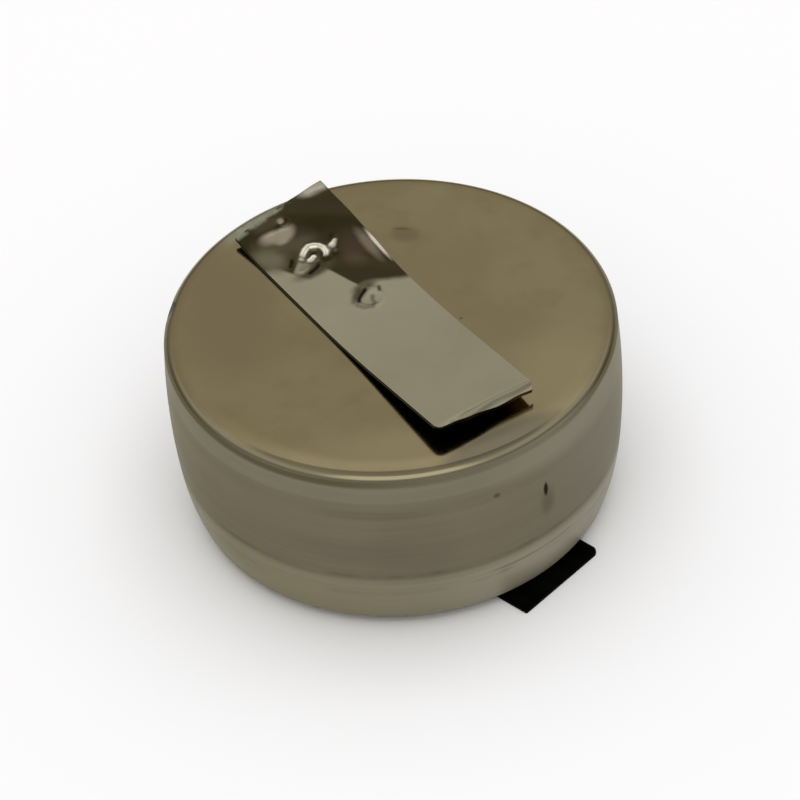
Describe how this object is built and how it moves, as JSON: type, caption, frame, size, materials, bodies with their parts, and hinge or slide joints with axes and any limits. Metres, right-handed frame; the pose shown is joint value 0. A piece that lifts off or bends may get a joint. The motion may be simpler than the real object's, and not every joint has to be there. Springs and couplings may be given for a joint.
{
  "type": "lithium coin cell",
  "caption": "Round rechargeable lithium coin cell with a crimped steel can and flat nickel solder tabs welded to both poles.",
  "frame": {"origin": "on the cell's axis, in the plane that the underside of the bottom tab rests on", "axes": "+Z along the cell's axis, from the cap to the flat of the can; the bottom tab leaves the cell towards +X and -Y, and the free end of the top tab points towards -Y and a little +X"},
  "size_m": [0.012, 0.012, 0.0063],
  "materials": {
    "plated_steel": "nickel-plated drawn steel, satin, slightly warm, with fine drawing lines round the wall",
    "cap_steel": "nickel-plated pressed steel, satin",
    "seal_polymer": "moulded polypropylene, matt",
    "nickel_strip": "rolled nickel strip, satin, dented and heat-darkened round the welds",
    "dark_nickel_strip": "rolled nickel strip with a blackened surface"
  },
  "bodies": {
    "root": {"can": "plated_steel", "seal_ring": "seal_polymer", "cap": "cap_steel", "top_tab": "nickel_strip", "bottom_tab": "dark_nickel_strip"}
  },
  "joints": []
}
